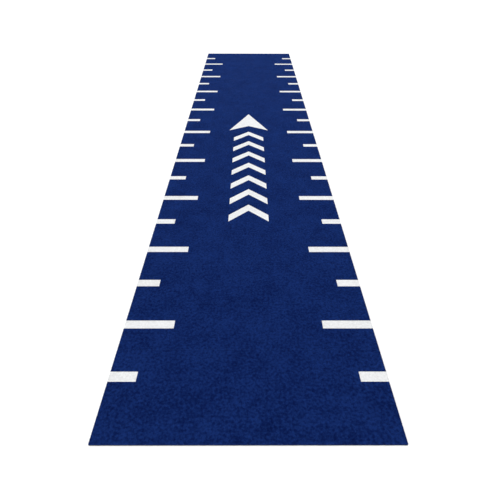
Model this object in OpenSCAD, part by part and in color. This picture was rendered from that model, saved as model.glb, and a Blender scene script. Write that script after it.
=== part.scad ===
// Turf sprint and sled track
//
// A long strip of artificial turf that lies on a gym floor. From the floor up it is a foam
// underlay, seam tape let into the foam under every cut joint, a latex-coated backing and a
// short upright pile. The white marks are cut from a second turf of the same thickness, dropped
// into slots in the blue field and held by the tape, so each mark has its own backing and pile.
//
// The origin is the middle of the underside. +Y runs along the track in the direction of the
// sprint, so the start line is the end at -Y. +X is to the runner's right and +Z is up.

/* [Track] */
// Length of the track
track_length = 10000; // [7000:500:11000]
// Width of the track
track_width = 2000; // [1900:50:3000]

/* [Layers] */
// Thickness of the foam underlay
foam_thickness = 5; // [3:0.5:10]
// Thickness of the turf's coated backing
backing_thickness = 3; // [2:0.5:4]
// Height of the pile above its backing
pile_height = 12; // [8:1:20]
// Thickness of the seam tape, which lies flush with the top of the foam
tape_thickness = 0.6; // [0.4:0.1:1]
// How far the seam tape reaches past a joint
tape_lap = 50; // [30:5:60]
// Space between the two strips of tape under the motif
tape_gap = 2; // [1:1:10]

/* [Distance marks] */
// Distance from one mark to the next
mark_pitch = 500; // [500:250:1000]
// Size of every mark along the track
mark_breadth = 85; // [60:5:150]
// Length of a half-pitch mark, in from the track's edge
short_mark = 200; // [100:10:250]
// Length of a full-pitch mark, in from the track's edge
long_mark = 400; // [260:10:420]
// Gap of the cut joint round every inlaid piece
cut_gap = 0.5; // [0.2:0.1:1]

/* [Direction motif] */
// Distance from the start line to the first chevron's tails
motif_start = 2500; // [1000:50:3000]
// Number of chevrons behind the arrowhead
chevron_count = 7; // [3:1:7]
// Distance from one chevron to the next
chevron_pitch = 360; // [320:10:400]
// Width of a chevron across the track
chevron_width = 440; // [300:10:500]
// Size of a chevron's stroke along the track
chevron_stroke = 130; // [80:5:150]
// Extra space in front of the last chevron, before the arrowhead
arrow_gap = 50; // [0:10:100]
// Width of the arrowhead across the track
arrow_width = 600; // [450:10:640]
// Length of the arrowhead along the track
arrow_length = 700; // [500:10:800]

/* [Hidden] */
start_line = -track_length / 2;
half_width = track_width / 2;
foam_top = foam_thickness;
backing_top = foam_top + backing_thickness;
last_mark = ceil(track_length / mark_pitch) - 1;
chevron_rise = chevron_width / 2;
arrow_start = motif_start + chevron_count * chevron_pitch + arrow_gap;
arrow_notch = arrow_length / 4;
motif_end = arrow_start + arrow_length;
centre_tape_width = arrow_width / 2 + tape_lap;
centre_tape_length = motif_end - motif_start + 2 * tape_lap;
centre_tape_middle = start_line + (motif_start + motif_end) / 2;

left = -1;
right = 1;

// "0_5m" for the mark half a metre from the start line, "1m" for the next
function distance_name(k) =
    let(d = k * mark_pitch, metres = floor(d / 1000), rest = d - metres * 1000)
    rest == 0 ? str(metres, "m") : str(metres, "_", rest % 100 == 0 ? rest / 100 : rest / 10, "m");
function mark_name(side, k) = str(side == left ? "mark_left_" : "mark_right_", distance_name(k));
function chevron_name(i) = str("chevron_", i + 1);
function mark_length(k) = k % 2 == 0 ? long_mark : short_mark;

// ---- outlines, all seen from above ----

module track_outline() {
    translate([-half_width, start_line]) square([track_width, track_length]);
}

// A mark k steps from the start line, flush with the track's edge. grow widens it on all sides,
// so a slot cut with it opens through that edge.
module mark_outline(side, k, grow = 0) {
    length = mark_length(k);
    translate([side * (half_width - length / 2), start_line + k * mark_pitch])
        square([length + 2 * grow, mark_breadth + 2 * grow], center = true);
}

// Two arms at 45 degrees that meet in a point. grow widens it squarely on all its sides.
module chevron_outline(i, grow = 0) {
    w = chevron_width / 2 + grow;
    along = grow * sqrt(2);
    translate([0, start_line + motif_start + i * chevron_pitch])
        polygon([
            [-w, -grow - along], [0, chevron_rise - along], [w, -grow - along],
            [w, chevron_stroke - grow + along], [0, chevron_rise + chevron_stroke + along],
            [-w, chevron_stroke - grow + along]
        ]);
}

// A swept-back arrowhead, from its two barbs at the back to its point. grow moves each of its
// four sides out by that much, and a side that slopes moves further along the track.
module arrow_outline(grow = 0) {
    side_slope = 2 * arrow_length / arrow_width;
    back_slope = 2 * arrow_notch / arrow_width;
    point = arrow_length + grow * sqrt(1 + side_slope ^ 2);
    notch = arrow_notch - grow * sqrt(1 + back_slope ^ 2);
    barb_x = (point - notch) / (side_slope - back_slope);
    barb_y = point - side_slope * barb_x;
    translate([0, start_line + arrow_start])
        polygon([[-barb_x, barb_y], [0, notch], [barb_x, barb_y], [0, point]]);
}

module marks_outline(side, grow = 0) {
    for (k = [1:last_mark]) mark_outline(side, k, grow);
}

module motif_outline(grow = 0) {
    for (i = [0:chevron_count - 1]) chevron_outline(i, grow);
    arrow_outline(grow);
}

// The seam tape of one side's marks, which laps on to the field on every cut side
module edge_tape_outline(side) {
    intersection() {
        track_outline();
        marks_outline(side, tape_lap);
    }
}

// Two strips of seam tape side by side, which together pass under the whole motif
module centre_tape_outline() {
    for (side = [left, right])
        translate([side * (centre_tape_width + tape_gap) / 2, centre_tape_middle])
            square([centre_tape_width, centre_tape_length], center = true);
}

// The blue field with a slot for every inlaid piece
module field_outline() {
    difference() {
        track_outline();
        marks_outline(left, cut_gap);
        marks_outline(right, cut_gap);
        motif_outline(cut_gap);
    }
}

// ---- layers ----

module layer(bottom, thickness) {
    translate([0, 0, bottom]) linear_extrude(thickness) children();
}

module backing_layer() {
    color("#26282c") layer(foam_top, backing_thickness) children();
}

module pile_layer(colour) {
    color(colour) layer(backing_top, pile_height) children();
}

module tape_layer() {
    color("#b9b8ae") layer(foam_top - tape_thickness, tape_thickness) children();
}

// ---- sub-parts ----

// The underlay: a flat sheet with shallow recesses where the seam tape presses into it
module foam_backing() {
    color("#1d1e20")
        difference() {
            layer(0, foam_thickness) track_outline();
            layer(foam_top - tape_thickness, 2 * tape_thickness) {
                marks_outline(left, tape_lap);
                marks_outline(right, tape_lap);
                centre_tape_outline();
            }
        }
}

// One rectangle of tape under each mark on one side
module seam_tapes(side) {
    tape_layer() edge_tape_outline(side);
}

module seam_tapes_centre() {
    tape_layer() centre_tape_outline();
}

module field_backing() {
    backing_layer() field_outline();
}

module field_pile() {
    pile_layer("#14285e") field_outline();
}

module mark_backings(side) {
    backing_layer() marks_outline(side);
}

module motif_backings() {
    backing_layer() motif_outline();
}

module mark(side, k) {
    pile_layer("#edede8") mark_outline(side, k);
}

module chevron(i) {
    pile_layer("#edede8") chevron_outline(i);
}

module arrowhead() {
    pile_layer("#edede8") arrow_outline();
}

foam_backing();
seam_tapes(left);  // seam_tapes_left
seam_tapes(right);  // seam_tapes_right
seam_tapes_centre();
field_backing();
field_pile();
mark_backings(left);  // mark_backings_left
mark_backings(right);  // mark_backings_right
motif_backings();
for (side = [left, right], k = [1:last_mark])
    mark(side, k);
for (i = [0:chevron_count - 1])
    chevron(i);
arrowhead();
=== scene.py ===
"""The looks of a turf sprint track: a blue field of cut pile with inlaid white marks, on a coated
backing and a foam underlay. Everything is in metres in the part's own frame: +Y along the track,
+Z up, and the underside of the foam at z = 0."""

import math

import bpy
import numpy as np
from mathutils import Matrix, Vector
from mathutils.geometry import delaunay_2d_cdt


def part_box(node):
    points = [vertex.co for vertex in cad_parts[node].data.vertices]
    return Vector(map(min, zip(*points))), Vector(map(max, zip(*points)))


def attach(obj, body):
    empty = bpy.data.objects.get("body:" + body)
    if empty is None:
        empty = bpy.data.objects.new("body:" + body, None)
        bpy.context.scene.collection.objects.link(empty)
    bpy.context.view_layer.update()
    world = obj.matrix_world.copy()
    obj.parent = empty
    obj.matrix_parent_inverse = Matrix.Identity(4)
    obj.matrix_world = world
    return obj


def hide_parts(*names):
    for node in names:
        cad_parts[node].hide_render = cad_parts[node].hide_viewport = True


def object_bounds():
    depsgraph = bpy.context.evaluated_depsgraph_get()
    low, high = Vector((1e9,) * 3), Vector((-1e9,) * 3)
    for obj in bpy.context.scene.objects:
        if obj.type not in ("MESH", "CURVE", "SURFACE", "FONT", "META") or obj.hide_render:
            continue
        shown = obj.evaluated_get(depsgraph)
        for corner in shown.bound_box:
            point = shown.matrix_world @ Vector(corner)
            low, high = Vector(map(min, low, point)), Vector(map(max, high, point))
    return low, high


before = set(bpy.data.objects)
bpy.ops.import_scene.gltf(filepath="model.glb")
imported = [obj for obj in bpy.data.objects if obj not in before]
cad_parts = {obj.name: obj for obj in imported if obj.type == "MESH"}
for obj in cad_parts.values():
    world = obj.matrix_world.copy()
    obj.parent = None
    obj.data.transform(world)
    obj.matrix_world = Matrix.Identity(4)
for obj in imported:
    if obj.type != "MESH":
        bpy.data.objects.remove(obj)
cad_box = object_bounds()
CAD_LOW, CAD_HIGH = (np.array(corner) for corner in cad_box)

SEED = 20
MM = 0.001

# ---- camera ----

LENS_MM = 30.67
SENSOR_MM = 36.0
CAMERA_BEHIND_START = 1.369
CAMERA_ASIDE = 0.001
CAMERA_ABOVE_PILE = 2.580
CAMERA_PITCH_DOWN = 37.555
CAMERA_TURN_RIGHT = 0.234
CAMERA_ROLL = 0.168

CLIP = (0.05, 500.0)

# ---- light ----

SKY_STRENGTH = 1.0
LAMP_STRENGTH = 1.6
LAMP_SPREAD = 40
LAMP_TILT = (35, -25)
FLOOR_REACH = 120.0
FLOOR_COLOUR = (0.92, 0.92, 0.92, 1.0)

# ---- the CAD nodes that the pieces replace ----

SIDES = ("left", "right")
MARKS = {side: [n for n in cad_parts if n.startswith(f"mark_{side}_")] for side in SIDES}
MOTIF = [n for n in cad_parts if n.startswith(("chevron_", "arrowhead"))]
TAPES = ("seam_tapes_left", "seam_tapes_right", "seam_tapes_centre")

FOAM_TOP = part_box("foam_backing")[1][2]
TAPE_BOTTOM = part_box("seam_tapes_centre")[0][2]
BACKING_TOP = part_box("field_backing")[1][2]
PILE_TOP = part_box("field_pile")[1][2]

# ---- meshes ----

# How flat a CAD face is, and how near to the track's edge a line lies along it
FLATNESS = 0.01 * MM
TOUCHING = 0.1 * MM
# How far points are out of place, as a share of the distance between them: those of a lattice,
# those along an outline, those of a line between two strips and the yarns of a fringe
LATTICE_WANDER = 0.27
OUTLINE_WANDER = 0.25
LINE_WANDER = 0.3
FRINGE_WANDER = 0.4
# How clear of an outline a lattice's points stay, as a share of the distance between them
OUTLINE_CLEARANCE = 0.45
# The least upward part of a smooth triangle's normal
LEAST_UPWARD = 0.25

# ---- pile ----

# Distance between neighbouring points of a pile's surface. One point in three is a tuft's crown.
PILE_STEP = 6 * MM
# How far below the pile's top the crowns, the points between them and a cut edge's rim lie
CROWN_DROP = (0.2 * MM, 2.4 * MM)
VALLEY_DROP = (4.2 * MM, 6.0 * MM)
RIM_DROP = (1.0 * MM, 3.0 * MM)
# How much of the crowns' heights goes by clumps
CLUMPS = 0.6
# Share of the crowns that have a loose blade of yarn standing out of them
BLADE_SHARE = 0.9
BLADE_LENGTH = (2.0 * MM, 3.2 * MM)
BLADE_WIDTH = 1.5 * MM
BLADE_ROOT_DEPTH = 1.2 * MM
BLADE_CORNERS = (0, 2.1, 4.2)
BLADE_SPREAD = 0.35
NAP_LEAN = (0.0, 0.15)
# The rows of upright yarns that show along the track's own edges
FRINGE_STEP = 3 * MM
FRINGE_ROWS = (0.2 * MM, 1.4 * MM)
FRINGE_LENGTH = (9.5 * MM, 12.0 * MM)
FRINGE_WIDTH = 2.8 * MM
FRINGE_SPREAD = 0.06

# The breadth of one yarn, and how many times as far the same shade runs up and down it
YARN_SIZE = 1.7 * MM
YARN_UPRIGHT = 8.0
FUZZ_SIZE = 1.2 * MM
TUFT_SIZE = 20 * MM
PATCH_SIZE = 0.30
# How much the yarns, the tufts and the broad patches each count in the pile's shade, and how far
# their sum goes either side of its middle between the darkest and the lightest yarn
FIBRE_SHARE = 0.22
TUFT_SHARE = 0.42
PATCH_SHARE = 0.36
SHADE_REACH = 0.10

# ---- backing, tape and foam ----

# How unevenly each was cut, and the distance between the points of a cut
CUT_STEP = 14 * MM
BACKING_WAVER = 0.3 * MM
TAPE_WAVER = 0.25 * MM
FOAM_WAVER = 0.6 * MM
# How much thinner the tape lies than the recess that it presses, and the width of the slope
# that it presses round itself
TAPE_SLACK = 0.1 * MM
PRESSED_EDGE = 1 * MM
# The foam stands on a grid of low feet
FOAM_FOOT_PITCH = 20 * MM
FOAM_FOOT_HEIGHT = (1.0 * MM, 1.4 * MM)
FOAM_EDGE_ROWS = (3.8 * MM, 2.4 * MM, 1.2 * MM, 0.3 * MM)


# ---- outlines ----


def node_loops(node):
    """The closed outlines of a CAD node's top face, seen from above. Each is a list of x, y
    points with the solid on its left."""
    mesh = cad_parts[node].data
    points = np.array([tuple(v.co) for v in mesh.vertices])
    top = points[:, 2].max()
    key = [tuple(p) for p in np.round(points[:, :2], 6).tolist()]
    onward = {}
    for face in mesh.polygons:
        corners = list(face.vertices)
        if min(points[i, 2] for i in corners) < top - FLATNESS:
            continue
        for a, b in zip(corners, corners[1:] + corners[:1]):
            a, b = key[a], key[b]
            if a in onward.get(b, ()):
                onward[b].remove(a)
            else:
                onward.setdefault(a, []).append(b)
    loops = []
    for start in sorted(onward):
        while onward[start]:
            loop, here = [], start
            while not loop or here != start:
                loop.append(here)
                here = onward[here].pop()
            loops.append(corners_only(np.array(loop)))
    return loops


def corners_only(loop):
    """A loop without the points that lie on a straight run."""
    before, after = loop - np.roll(loop, 1, axis=0), np.roll(loop, -1, axis=0) - loop
    turn = before[:, 0] * after[:, 1] - before[:, 1] * after[:, 0]
    size = np.linalg.norm(before, axis=1) * np.linalg.norm(after, axis=1)
    return loop[np.abs(turn) > 1e-4 * size]


def subdivided(loop, step, rng):
    """A loop with points about a step apart, not quite evenly."""
    points = []
    for a, b in zip(loop, np.roll(loop, -1, axis=0)):
        count = max(1, round(np.linalg.norm(b - a) / step))
        share = np.arange(count) / count
        share[1:] += rng.uniform(-OUTLINE_WANDER, OUTLINE_WANDER, count - 1) / count
        points.append(a + share[:, None] * (b - a))
    return np.concatenate(points)


def ring_edges(loops):
    """The pairs of neighbours in several closed loops whose points follow on in one list."""
    edges, count = [], 0
    for loop in loops:
        ring = count + np.arange(len(loop))
        edges.append(np.column_stack([ring, np.roll(ring, -1)]))
        count += len(loop)
    return np.concatenate(edges)


def sides_of(loops):
    """The two ends of every side of the loops."""
    return np.concatenate(loops)[ring_edges(loops)]


def inside(points, sides):
    """Which points are within the outline, by the number of its sides to the right of each."""
    within = np.zeros(len(points), bool)
    x, y = points.T
    for (ax, ay), (bx, by) in sides:
        crosses = (ay > y) != (by > y)
        if crosses.any():
            at = ax + (y[crosses] - ay) * (bx - ax) / (by - ay)
            within[crosses] ^= x[crosses] < at
    return within


def edge_distance(points, sides):
    """How far each point is from the nearest side of the outline."""
    best = np.full(len(points), np.inf)
    for a, b in sides:
        d = b - a
        t = np.clip((points - a) @ d / (d @ d), 0, 1)
        best = np.minimum(best, np.linalg.norm(points - a - t[:, None] * d, axis=1))
    return best


def inward(points, edges):
    """The direction into the solid at each point of a border, which has the solid on its left."""
    along = points[edges[:, 1]] - points[edges[:, 0]]
    left = np.column_stack([-along[:, 1], along[:, 0]])
    total = np.zeros_like(points)
    np.add.at(total, edges[:, 0], left)
    np.add.at(total, edges[:, 1], left)
    return total / np.linalg.norm(total, axis=1)[:, None]


# ---- meshes ----


def lattice(low, high, step, rng):
    """The points of a triangular lattice over a box, each a little out of place, and which of
    them are crowns. Every crown has six points round it that aren't."""
    rise = step * math.sqrt(3) / 2
    rows = np.arange(math.floor(low[1] / rise), math.ceil(high[1] / rise) + 1)
    columns = np.arange(math.floor(low[0] / step) - 1, math.ceil(high[0] / step) + 1)
    j, i = np.meshgrid(rows, columns, indexing="ij")
    points = np.stack([(i + 0.5 * (j % 2)) * step, j * rise], axis=2).reshape(-1, 2)
    crowns = ((i - (j - j % 2) // 2 - j) % 3 == 0).ravel()
    points += rng.uniform(-LATTICE_WANDER, LATTICE_WANDER, points.shape) * step
    return points, crowns


def triangulated(points, edges, keep):
    """A triangulation of the points that holds the edges, with only the triangles whose middles
    keep() accepts. It returns the points, the triangles, and the first given point at each."""
    v, _, f, origin, _, _ = delaunay_2d_cdt(points.tolist(), edges.tolist(), [], 0, 1e-7)
    v, f = np.array([tuple(p) for p in v]), np.array(f)
    first = np.array([o[0] if o else -1 for o in origin])
    return v, f[keep(v[f].mean(axis=1))], first


def border(triangles):
    """The edges that only one triangle uses, in that triangle's direction."""
    edges = np.concatenate([triangles[:, [0, 1]], triangles[:, [1, 2]], triangles[:, [2, 0]]])
    size = int(triangles.max()) + 1
    forward, backward = edges[:, 0] * size + edges[:, 1], edges[:, 1] * size + edges[:, 0]
    return edges[~np.isin(forward, backward)]


def raised(points, height):
    """Flat points at one height, or each at its own."""
    return np.column_stack([points, np.broadcast_to(height, len(points))])


def closed_solid(flat, triangles, heights, rows, waver, rng, feet=None):
    """A solid with the triangles on top, at those heights. Its walls go down through the rows'
    heights, each wandering in from the rim by up to waver, and the last is the underside's
    edge. feet is more points of the underside and their heights."""
    used, triangles = np.unique(triangles, return_inverse=True)
    flat, heights, triangles = flat[used], heights[used], triangles.reshape(-1, 3)
    upper = border(triangles)
    rim, ring = np.unique(upper, return_inverse=True)
    ring = ring.reshape(-1, 2)
    into = inward(flat[rim], ring)
    points, faces, count = [raised(flat, heights)], [triangles], len(flat)
    for height in rows:
        row = flat[rim] + into * rng.uniform(0, waver, (len(rim), 1))
        lower = ring + count
        faces.append(np.column_stack([upper[:, 0], lower]))
        faces.append(np.column_stack([upper[:, 0], lower[:, 1], upper[:, 1]]))
        if height != rows[-1]:
            points.append(raised(row, height))
            count += len(row)
            upper = lower
    feet_points, feet_heights = feet or (np.zeros((0, 2)), np.zeros(0))
    base, base_faces, _ = triangulated(np.concatenate([row, feet_points]), ring,
                                       lambda middles: inside(middles, row[ring]))
    base_heights = np.full(len(base), rows[-1])
    base_heights[len(row):len(row) + len(feet_points)] = feet_heights
    points.append(raised(base, base_heights))
    faces.append(base_faces[:, ::-1] + count)
    return np.concatenate(points), np.concatenate(faces)


def joined(*parts):
    """Several sets of points and triangles as one."""
    points, faces, count = [], [], 0
    for p, f in parts:
        points.append(p)
        faces.append(f + count)
        count += len(p)
    return np.concatenate(points), np.concatenate(faces)


def facing_up(points, faces):
    """Which triangles face upwards, and so aren't walls or undersides."""
    a, b, c = (points[faces[:, k]] for k in range(3))
    normals = np.cross(b - a, c - a)
    return normals[:, 2] > LEAST_UPWARD * np.linalg.norm(normals, axis=1)


def make_piece(name, node, look, points, faces, smooth=True):
    """A piece made from triangles that takes the place of a CAD node."""
    mesh = bpy.data.meshes.new(name)
    mesh.vertices.add(len(points))
    mesh.vertices.foreach_set("co", points.astype(np.float32).ravel())
    mesh.loops.add(faces.size)
    mesh.loops.foreach_set("vertex_index", faces.astype(np.int32).ravel())
    mesh.polygons.add(len(faces))
    mesh.polygons.foreach_set("loop_start", np.arange(0, faces.size, 3, dtype=np.int32))
    mesh.polygons.foreach_set("use_smooth", facing_up(points, faces) & smooth)
    mesh.update(calc_edges=True)
    mesh.materials.append(look)
    piece = bpy.data.objects.new(name, mesh)
    bpy.context.scene.collection.objects.link(piece)
    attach(piece, "root")
    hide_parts(node)
    return piece


# ---- pile ----


def ripple(x, y):
    """A smooth wandering value from 0 to 1, the same for the same place."""
    wave = np.sin(311 * x + 1.7 * np.sin(173 * y)) + np.sin(271 * y + 1.3 * np.sin(197 * x))
    return 0.5 + 0.25 * wave


def drops(points, low, high, wander, rng):
    """How far below the pile's top each point lies, from low to high. wander is how much of that
    follows the ripple, which makes clumps, and the rest is by chance."""
    share = (1 - wander) * rng.random(len(points)) + wander * ripple(*points[:, :2].T)
    return low + (high - low) * share


def blades(roots, rng, length, width, spread, lean=(0.0, 0.0)):
    """One closed, pointed blade of yarn at each root, as points and triangles. spread is how far
    the tips wander and lean which way they all go, both as a share of the length."""
    count = len(roots)
    turn = rng.uniform(0, 2 * math.pi, count)[:, None] + np.array(BLADE_CORNERS)
    ring = np.stack([np.cos(turn), np.sin(turn), np.zeros_like(turn)], axis=2) * width / 2
    tall = rng.uniform(*length, count)
    away = rng.normal(0, spread, (count, 2)) + lean
    tips = roots + np.column_stack([away * tall[:, None], tall])
    points = np.concatenate([roots[:, None] + ring, tips[:, None]], axis=1).reshape(-1, 3)
    one = np.array([[0, 1, 3], [1, 2, 3], [2, 0, 3], [0, 2, 1]])
    return points, (one + 4 * np.arange(count)[:, None, None]).reshape(-1, 3)


def between(points, strip):
    """How far each point is inside a strip, along Y: less than 0 is outside."""
    x, y = points.T
    below, above = (np.interp(x, line[:, 0], line[:, 1]) for line in strip)
    return np.minimum(y - below, above - y)


def at_track_edge(a, b):
    """Whether the line from a to b lies along one of the track's own four edges."""
    return any(a[k] == b[k] and min(a[k] - CAD_LOW[k], CAD_HIGH[k] - a[k]) < TOUCHING
               for k in (0, 1))


def fringe(outline, strip, rng):
    """Upright yarns along the parts of the outline that are the track's own edge."""
    roots = [np.zeros((0, 2))]
    for a, b in outline:
        if not at_track_edge(a, b):
            continue
        length = np.linalg.norm(b - a)
        along = (b - a) / length
        into = np.array([-along[1], along[0]])
        for row in FRINGE_ROWS:
            at = np.arange(FRINGE_STEP / 2, length, FRINGE_STEP)
            at += rng.uniform(-FRINGE_WANDER, FRINGE_WANDER, len(at)) * FRINGE_STEP
            roots.append(a + at[:, None] * along + into * (row + FRINGE_WIDTH / 2))
    roots = np.concatenate(roots)
    roots = roots[between(roots, strip) > 0]
    return blades(raised(roots, BACKING_TOP), rng, FRINGE_LENGTH, FRINGE_WIDTH, FRINGE_SPREAD)


def pile_solid(loops, rims, strip, rng):
    """The block of cut pile within the loops and between the two wandering lines of a strip.
    rims are the loops again, with points all along them, and points are x, y and drop."""
    outline = sides_of(loops)
    low, high = strip[0].min(axis=0), strip[1].max(axis=0)
    points, crowns = lattice(low, high, PILE_STEP, rng)
    clear = OUTLINE_CLEARANCE * PILE_STEP
    kept = between(points, strip) > clear
    points, crowns = points[kept], crowns[kept]
    kept = inside(points, outline) & (edge_distance(points, outline) > clear)
    points, crowns = points[kept], crowns[kept]
    drop = np.where(crowns, drops(points, *CROWN_DROP, CLUMPS, rng),
                    drops(points, *VALLEY_DROP, 0, rng))

    edges, given = [], [raised(points, drop)]
    count = len(points)
    for rim in rims:
        near = (rim[:, 1] > low[1] - 0.1) & (rim[:, 1] < high[1] + 0.1)
        edges.append(count + ring_edges([rim])[near & np.roll(near, -1)])
        given.append(raised(rim, drops(rim, *RIM_DROP, 1, rng)))
        count += len(rim)
    for line in strip:
        run = count + np.arange(len(line))
        edges.append(np.column_stack([run[:-1], run[1:]]))
        given.append(line)
        count += len(line)

    def keep(middles):
        return inside(middles, outline) & (between(middles, strip) > 0)

    given = np.concatenate(given)
    flat, faces, first = triangulated(given[:, :2], np.concatenate(edges), keep)
    drop = np.where(first < 0, drops(flat, *RIM_DROP, 1, rng), given[first, 2])
    heights = PILE_TOP - drop
    bladed = (first >= 0) & (first < len(crowns)) & np.isin(np.arange(len(flat)), faces)
    bladed[bladed] = crowns[first[bladed]]
    bladed &= rng.random(len(flat)) < BLADE_SHARE
    roots = raised(flat, heights - BLADE_ROOT_DEPTH)[bladed]
    return joined(closed_solid(flat, faces, heights, [BACKING_TOP], 0, rng),
                  blades(roots, rng, BLADE_LENGTH, BLADE_WIDTH, BLADE_SPREAD, NAP_LEAN),
                  fringe(outline, strip, rng))


def across(y, rng):
    """A line right across the track at y that wanders a little, as points a step apart, with a
    crown at every third point as in the rest of the pile."""
    reach = CAD_HIGH[0] + 10 * PILE_STEP
    x = np.arange(-reach, reach, PILE_STEP)
    wander = rng.uniform(-LINE_WANDER, LINE_WANDER, len(x)) * PILE_STEP
    points = np.column_stack([x, y + wander])
    drop = drops(points, *VALLEY_DROP, 0, rng)
    drop[::3] = drops(points[::3], *CROWN_DROP, CLUMPS, rng)
    return raised(points, drop)


def make_field(look):
    """The blue field's pile, in a strip for each pair of marks. The strips meet along wandering
    lines halfway between the marks, and the end strips reach past the track's ends."""
    rng = np.random.default_rng(SEED)
    loops = node_loops("field_pile")
    rims = [subdivided(loop, PILE_STEP, rng) for loop in loops]
    marks = sorted(np.mean(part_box(node), axis=0)[1] for node in MARKS["left"])
    halfway = [(a + b) / 2 for a, b in zip(marks, marks[1:])]
    past = 10 * PILE_STEP
    lines = [across(y, rng) for y in [CAD_LOW[1] - past, *halfway, CAD_HIGH[1] + past]]
    strips = []
    for k, strip in enumerate(zip(lines, lines[1:])):
        points, faces = pile_solid(loops, rims, strip, rng)
        strips.append(make_piece(f"field_pile_{k + 1}", "field_pile", look,
                                 points, faces))
    return strips


def make_inlays(nodes, look, rng):
    """The pile of each of those white marks, chevrons or arrowhead."""
    inlays = []
    for node in nodes:
        loops = node_loops(node)
        rims = [subdivided(loop, PILE_STEP, rng) for loop in loops]
        low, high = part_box(node)
        strip = [across(low[1] - PILE_STEP * 2, rng), across(high[1] + PILE_STEP * 2, rng)]
        points, faces = pile_solid(loops, rims, strip, rng)
        inlays.append(make_piece(f"{node}_pile", node, look, points, faces))
    return inlays


# ---- backing, tape and foam ----


def cut_loop(loop, waver, rng):
    """A loop as a knife cuts it, with points that wander in from it by up to waver."""
    points = subdivided(loop, CUT_STEP, rng)
    return points + inward(points, ring_edges([points])) * rng.uniform(0, waver, (len(points), 1))


def make_layer(name, node, look, waver, rng, slack=0.0):
    """A flat layer cut to a CAD node's outline. slack is how far its top lies below the node's."""
    (_, _, bottom), (_, _, top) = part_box(node)
    loops = [cut_loop(loop, waver, rng) for loop in node_loops(node)]
    outline = sides_of(loops)
    flat, faces, _ = triangulated(np.concatenate(loops), ring_edges(loops),
                                  lambda middles: inside(middles, outline))
    heights = np.full(len(flat), top - slack)
    points, faces = closed_solid(flat, faces, heights, [bottom], 0, rng)
    return make_piece(name, node, look, points, faces, smooth=False)


def grown(loop, by):
    """A rectangle that is larger by that much on every side."""
    return loop + np.sign(loop - loop.mean(axis=0)) * by


def make_foam(look, rng):
    """The underlay, with the tape pressed into its top, a wavering cut edge and low feet."""
    low, high = CAD_LOW[:2], CAD_HIGH[:2]
    corners = np.array([low, (high[0], low[1]), high, (low[0], high[1])])
    edge = subdivided(corners, CUT_STEP, rng)
    outline = sides_of([corners])
    tapes = [loop for node in TAPES for loop in node_loops(node)]
    pressed = [np.clip(grown(loop, PRESSED_EDGE), low, high) for loop in tapes]
    loops = [edge, *tapes, *pressed]
    flat, faces, _ = triangulated(np.concatenate(loops), ring_edges(loops),
                                  lambda middles: inside(middles, outline))
    under_tape = inside(flat, sides_of([grown(loop, TOUCHING) for loop in tapes]))
    heights = np.where(under_tape, TAPE_BOTTOM, FOAM_TOP)
    feet, standing = lattice(low, high, FOAM_FOOT_PITCH, rng)
    clear = inside(feet, outline) & (edge_distance(feet, outline) > FOAM_FOOT_PITCH / 4)
    feet_heights = np.where(standing, 0, rng.uniform(*FOAM_FOOT_HEIGHT, len(feet)))
    points, faces = closed_solid(flat, faces, heights, FOAM_EDGE_ROWS, FOAM_WAVER, rng,
                                 (feet[clear], feet_heights[clear]))
    return make_piece("foam_underlay", "foam_backing", look, points, faces, smooth=False)


# ---- looks ----


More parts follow.
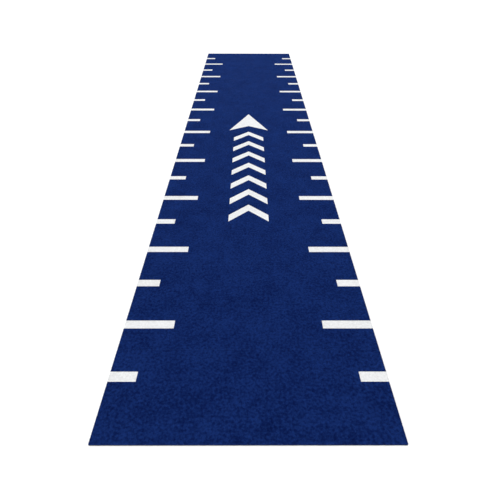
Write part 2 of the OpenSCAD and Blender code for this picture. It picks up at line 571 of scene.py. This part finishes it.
class Look:
    """A material being made. Each method adds one node and returns its output."""

    def __init__(self, name):
        self.material = bpy.data.materials.new(name)
        self.material.use_nodes = True
        self.tree = self.material.node_tree
        self.shader = self.tree.nodes["Principled BSDF"]
        self.place = self.node("ShaderNodeTexCoord").outputs["Object"]

    def node(self, kind, inputs=None, **settings):
        node = self.tree.nodes.new(kind)
        for name, value in settings.items():
            setattr(node, name, value)
        for name, value in (inputs or {}).items():
            self.put(node.inputs[name], value)
        return node

    def put(self, socket, value):
        if isinstance(value, bpy.types.NodeSocket):
            self.tree.links.new(value, socket)
        else:
            socket.default_value = value

    def surface(self, **inputs):
        """Sets the shader's inputs, named with underscores for their spaces."""
        for name, value in inputs.items():
            self.put(self.shader.inputs[name.replace("_", " ")], value)

    def noise(self, size, detail=2.0, roughness=0.5):
        """Soft noise from about 0 to 1 with blobs of that size in metres."""
        inputs = {"Vector": self.place, "Scale": 1 / size, "Detail": detail,
                  "Roughness": roughness}
        return self.node("ShaderNodeTexNoise", inputs).outputs["Fac"]

    def cells(self, size, upright=1.0):
        """Cells of that size, drawn out that many times along Z. It returns each cell's own value
        and the distance to its middle, both from 0 to about 1."""
        scale = {0: self.place, 1: (1.0, 1.0, 1 / upright)}
        place = self.node("ShaderNodeVectorMath", scale, operation="MULTIPLY").outputs["Vector"]
        voronoi = self.node("ShaderNodeTexVoronoi", {"Vector": place, "Scale": 1 / size})
        return voronoi.outputs["Color"], voronoi.outputs["Distance"]

    def threads(self, pitch, direction):
        """Round ridges that far apart across the X or Y direction."""
        inputs = {"Vector": self.place, "Scale": 1 / pitch / 20 * 2 * math.pi, "Distortion": 0.6}
        wave = self.node("ShaderNodeTexWave", inputs, bands_direction=direction)
        return wave.outputs["Fac"]

    def height(self):
        return self.node("ShaderNodeSeparateXYZ", {"Vector": self.place}).outputs["Z"]

    def spread(self, value, start, end, low=0.0, high=1.0):
        """A value between start and end, stretched to run from low to high."""
        inputs = {"Value": value, "From Min": start, "From Max": end,
                  "To Min": low, "To Max": high}
        return self.node("ShaderNodeMapRange", inputs).outputs["Result"]

    def math(self, operation, *values):
        inputs = dict(enumerate(values))
        return self.node("ShaderNodeMath", inputs, operation=operation).outputs[0]

    def weighted(self, *parts):
        """The sum of (value, weight) parts."""
        (value, weight), *others = parts
        total = self.math("MULTIPLY", value, weight)
        for value, weight in others:
            total = self.math("MULTIPLY_ADD", value, weight, total)
        return total

    def colours(self, value, *stops):
        """A blend through (value, colour) stops."""
        ramp = self.node("ShaderNodeValToRGB", {"Fac": value})
        elements = ramp.color_ramp.elements
        while len(elements) < len(stops):
            elements.new(0.5)
        for element, (position, colour) in zip(elements, stops):
            element.position = position
            element.color = (*colour, 1.0)
        return ramp.outputs["Color"]

    def shaded(self, colour, value):
        """A colour times a grey value."""
        inputs = {"Vector": colour, "Scale": value}
        return self.node("ShaderNodeVectorMath", inputs, operation="SCALE").outputs["Vector"]

    def bump(self, height, depth, strength=1.0):
        inputs = {"Height": height, "Distance": depth, "Strength": strength}
        return self.node("ShaderNodeBump", inputs).outputs["Normal"]


def pile_look(name, dark, light, painted_valley_shade, sheen):
    """Cut yarn between two shades: each fibre and tuft has its own, and patches of every size
    lean to one or the other, partly at random in the yarn's own tone and partly as painted shade
    where the nap lies another way. Painted shade darkens the colour down between the tufts, to
    painted_valley_shade times it near the backing, and sheen is the tint of the yarn's shine from
    the side."""
    look = Look(name)
    fibre, tip = look.cells(YARN_SIZE, YARN_UPRIGHT)
    fuzz = look.noise(FUZZ_SIZE, 2.0, 0.6)
    tuft = look.noise(TUFT_SIZE, 1.5, 0.6)
    # Broad patches: partly the yarn's own random tone, partly painted shade where the nap lies
    # another way.
    patches = look.noise(PATCH_SIZE, 8.0, 0.80)
    shade = look.weighted((fibre, FIBRE_SHARE), (tuft, TUFT_SHARE), (patches, PATCH_SHARE))
    colour = look.colours(look.spread(shade, 0.5 - SHADE_REACH, 0.5 + SHADE_REACH),
                          (0.0, dark), (1.0, light))
    # Painted shade: the colour darkens lower in the pile, down between the tufts towards the
    # backing.
    depth = look.spread(look.height(), BACKING_TOP + 4 * MM, PILE_TOP - 2 * MM, painted_valley_shade, 1.0)
    tips = look.weighted((tip, -1.0), (fuzz, 0.5))
    look.surface(
        Base_Color=look.shaded(colour, depth),
        Roughness=look.spread(fibre, 0.0, 1.0, 0.6, 0.9),
        Specular_IOR_Level=0.03,
        Sheen_Weight=0.12,
        Sheen_Tint=(*sheen, 1.0),
        Sheen_Roughness=0.5,
        Normal=look.bump(tips, 1.2 * MM, 0.8),
    )
    return look.material


def blue_pile():
    return pile_look("blue_pile", (0.0001, 0.0046, 0.053), (0.0072, 0.0284, 0.156), 0.35,
                     (0.06, 0.24, 1.0))


def white_pile():
    return pile_look("white_pile", (0.71, 0.715, 0.72), (0.83, 0.84, 0.85), 0.80,
                     (1.0, 1.0, 1.0))


def turf_backing():
    """Black latex brushed over a woven cloth, with the rows of stitches showing through."""
    look = Look("turf_backing")
    lumps = look.noise(6 * MM, 3.0, 0.6)
    weave = look.math("MULTIPLY", look.threads(5 * MM, "X"), look.threads(3 * MM, "Y"))
    height = look.weighted((weave, 0.6), (lumps, 1.0))
    look.surface(
        Base_Color=look.colours(lumps, (0.35, (0.010, 0.011, 0.013)),
                                (0.65, (0.030, 0.032, 0.036))),
        Roughness=look.spread(lumps, 0.3, 0.7, 0.55, 0.8),
        Specular_IOR_Level=0.15,
        Normal=look.bump(height, 0.8 * MM, 0.7),
    )
    return look.material


def foam():
    """Dense black foam rubber: fine open cells on its cut edge and a dull skin."""
    look = Look("foam")
    (_, cells), soft = look.cells(1.6 * MM), look.noise(40 * MM, 2.0, 0.5)
    shade = look.weighted((cells, 0.6), (soft, 0.4))
    look.surface(
        Base_Color=look.colours(shade, (0.2, (0.007, 0.007, 0.008)), (0.7, (0.022, 0.022, 0.024))),
        Roughness=look.spread(cells, 0.0, 0.8, 0.75, 0.95),
        Specular_IOR_Level=0.12,
        Normal=look.bump(cells, 0.5 * MM, 0.8),
    )
    return look.material


def seam_tape():
    """Pale woven tape with a crust of dried glue."""
    look = Look("seam_tape")
    weave = look.math("MAXIMUM", look.threads(1.5 * MM, "X"), look.threads(1.5 * MM, "Y"))
    glue = look.noise(25 * MM, 3.0, 0.6)
    shade = look.weighted((glue, 0.6), (weave, 0.4))
    look.surface(
        Base_Color=look.colours(shade, (0.3, (0.30, 0.28, 0.22)), (0.7, (0.52, 0.51, 0.45))),
        Roughness=look.spread(glue, 0.3, 0.7, 0.5, 0.85),
        Normal=look.bump(weave, 0.3 * MM, 0.8),
    )
    return look.material


# ---- floor, light and camera ----


def make_floor():
    """A wide pale floor."""
    mesh = bpy.data.meshes.new("floor")
    reach = FLOOR_REACH
    corners = [(-reach, -reach, 0), (reach, -reach, 0), (reach, reach, 0), (-reach, reach, 0)]
    mesh.from_pydata(corners, [], [(0, 1, 2, 3)])
    floor = bpy.data.objects.new("floor", mesh)
    bpy.context.scene.collection.objects.link(floor)
    look = Look("floor")
    look.surface(Base_Color=FLOOR_COLOUR, Roughness=0.9, Specular_IOR_Level=0.0)
    mesh.materials.append(look.material)


def make_light():
    """Even light from all round, and one broad soft lamp high on the left."""
    world = bpy.data.worlds.new("studio")
    world.use_nodes = True
    background = world.node_tree.nodes["Background"]
    background.inputs["Color"].default_value = (1.0, 1.0, 1.0, 1.0)
    background.inputs["Strength"].default_value = SKY_STRENGTH
    bpy.context.scene.world = world
    lamp = bpy.data.lights.new("soft_lamp", "SUN")
    lamp.energy = LAMP_STRENGTH
    lamp.angle = math.radians(LAMP_SPREAD)
    holder = bpy.data.objects.new("soft_lamp", lamp)
    holder.rotation_euler = (math.radians(LAMP_TILT[0]), math.radians(LAMP_TILT[1]), 0)
    bpy.context.scene.collection.objects.link(holder)


def make_camera():
    camera = bpy.data.cameras.new("camera")
    camera.lens = LENS_MM
    camera.sensor_width = SENSOR_MM
    camera.clip_start, camera.clip_end = CLIP
    holder = bpy.data.objects.new("camera", camera)
    turn = Matrix.Rotation(math.radians(-CAMERA_TURN_RIGHT), 4, "Z")
    pitch = Matrix.Rotation(math.radians(90 - CAMERA_PITCH_DOWN), 4, "X")
    roll = Matrix.Rotation(math.radians(CAMERA_ROLL), 4, "Z")
    place = Vector((CAMERA_ASIDE, CAD_LOW[1] - CAMERA_BEHIND_START, PILE_TOP + CAMERA_ABOVE_PILE))
    holder.matrix_world = Matrix.Translation(place) @ turn @ pitch @ roll
    bpy.context.scene.collection.objects.link(holder)
    bpy.context.scene.camera = holder
    bpy.context.scene.view_settings.view_transform = "Standard"


# ---- the track ----

make_camera()
make_floor()
make_light()

white = white_pile()
backing_look, tape_look = turf_backing(), seam_tape()
field = make_field(blue_pile())
layer_rng = np.random.default_rng(SEED + 1)
foam_piece = make_foam(foam(), layer_rng)

for side in SIDES:
    tape = make_layer(f"seam_tape_{side}", f"seam_tapes_{side}", tape_look,
                      TAPE_WAVER, layer_rng, TAPE_SLACK)
    backing = make_layer(f"mark_backing_{side}", f"mark_backings_{side}",
                         backing_look, BACKING_WAVER, layer_rng)
    marks = make_inlays(MARKS[side], white, layer_rng)
tape = make_layer("seam_tape_centre", "seam_tapes_centre", tape_look,
                  TAPE_WAVER, layer_rng, TAPE_SLACK)
motif = make_layer("motif_backing", "motif_backings", backing_look,
                   BACKING_WAVER, layer_rng)
make_inlays(MOTIF, white, layer_rng)
backing = make_layer("field_backing_sheet", "field_backing", backing_look,
                     BACKING_WAVER, layer_rng)
